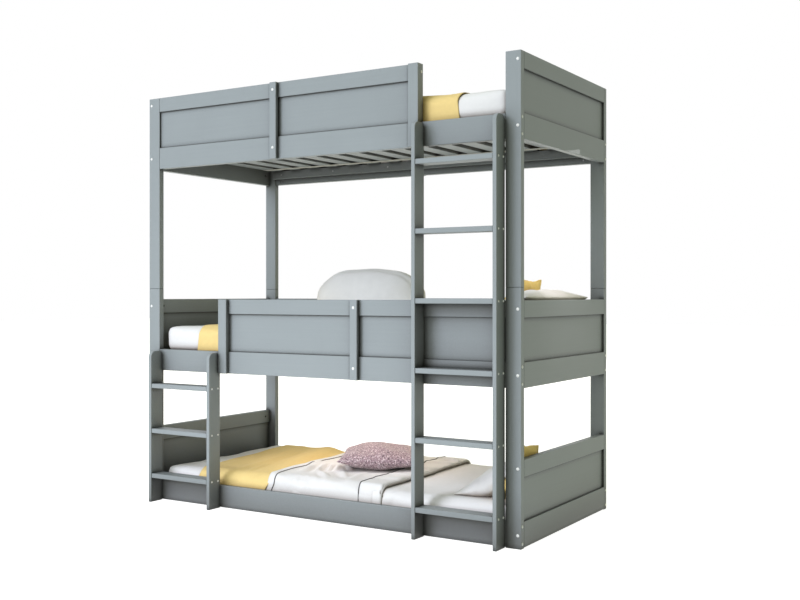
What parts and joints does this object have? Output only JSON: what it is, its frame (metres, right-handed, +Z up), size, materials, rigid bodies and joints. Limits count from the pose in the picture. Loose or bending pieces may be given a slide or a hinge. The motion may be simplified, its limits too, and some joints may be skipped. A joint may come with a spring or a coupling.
{
  "type": "triple bunk bed",
  "caption": "Stacked bunk bed of grey painted boards with panelled ends and guards, slatted decks, upright ladders, mattresses and bedding.",
  "frame": {"origin": "middle of the box around the whole bed, on the floor", "axes": "+X along the bed toward the tall ladder, +Y from the ladder side to the back, +Z up"},
  "size_m": [2.075, 1.0586, 2.02],
  "materials": {
    "grey_paint": "satin",
    "plain_wood": "matte",
    "zinc_steel": "satin",
    "white_plastic": "satin",
    "webbing": "matte",
    "white_sheet": "matte",
    "yellow_knit": "matte",
    "white_duvet": "matte",
    "pillow_cotton": "matte",
    "mauve_weave": "matte",
    "white_plush": "matte"
  },
  "bodies": {
    "frame": {"lower_post_front_left": "grey_paint", "lower_post_front_right": "grey_paint", "lower_post_back_left": "grey_paint", "lower_post_back_right": "grey_paint", "upper_post_front_left": "grey_paint", "upper_post_front_right": "grey_paint", "upper_post_back_left": "grey_paint", "upper_post_back_right": "grey_paint", "end_bottom_rails_left": "grey_paint", "end_top_rails_left": "grey_paint", "end_panels_left": "grey_paint", "end_bottom_rails_right": "grey_paint", "end_top_rails_right": "grey_paint", "end_panels_right": "grey_paint", "lower_side_rail_front": "grey_paint", "lower_side_rail_back": "grey_paint", "middle_side_rail_front": "grey_paint", "middle_side_rail_back": "grey_paint", "upper_side_rail_front": "grey_paint", "upper_side_rail_back": "grey_paint", "slat_ledgers": "grey_paint", "lower_slats": "grey_paint", "middle_slats": "grey_paint", "upper_slats": "grey_paint", "upper_front_guard_rail": "grey_paint", "upper_front_guard_panel": "grey_paint", "upper_guard_post": "grey_paint", "middle_front_guard_rail": "grey_paint", "middle_front_guard_panel": "grey_paint", "middle_guard_post": "grey_paint", "back_guard_rails": "grey_paint", "back_guard_panels": "grey_paint", "guard_stiles": "grey_paint", "tall_ladder_stringers": "grey_paint", "tall_ladder_treads": "grey_paint", "short_ladder_stringers": "grey_paint", "short_ladder_treads": "grey_paint", "end_board_bolts": "zinc_steel", "side_rail_bolts": "zinc_steel", "barrel_nuts": "zinc_steel", "frame_screws": "zinc_steel", "tread_screws": "zinc_steel", "slat_tapes": "webbing", "cover_caps": "white_plastic", "dowels": "plain_wood"},
    "lower_bed": {"lower_mattress": "white_sheet", "lower_runner": "yellow_knit", "lower_duvet": "white_duvet", "lower_pillows": "pillow_cotton", "lower_cushion": "mauve_weave"},
    "middle_bed": {"middle_mattress": "white_sheet", "middle_runner": "yellow_knit", "middle_duvet": "white_duvet", "middle_pillows": "pillow_cotton", "middle_cushion": "white_plush"},
    "upper_bed": {"upper_mattress": "white_sheet", "upper_runner": "yellow_knit", "upper_duvet": "white_duvet", "upper_pillows": "pillow_cotton"}
  },
  "joints": [
    {"name": "lower_mattress_lift", "type": "slide", "parent": "frame", "child": "lower_bed", "axis": [0, 0, 1], "range_m": [0, 0.15]},
    {"name": "middle_mattress_lift", "type": "slide", "parent": "frame", "child": "middle_bed", "axis": [0, 0, 1], "range_m": [0, 0.3]},
    {"name": "upper_mattress_lift", "type": "slide", "parent": "frame", "child": "upper_bed", "axis": [0, 0, 1], "range_m": [0, 0.3]}
  ]
}
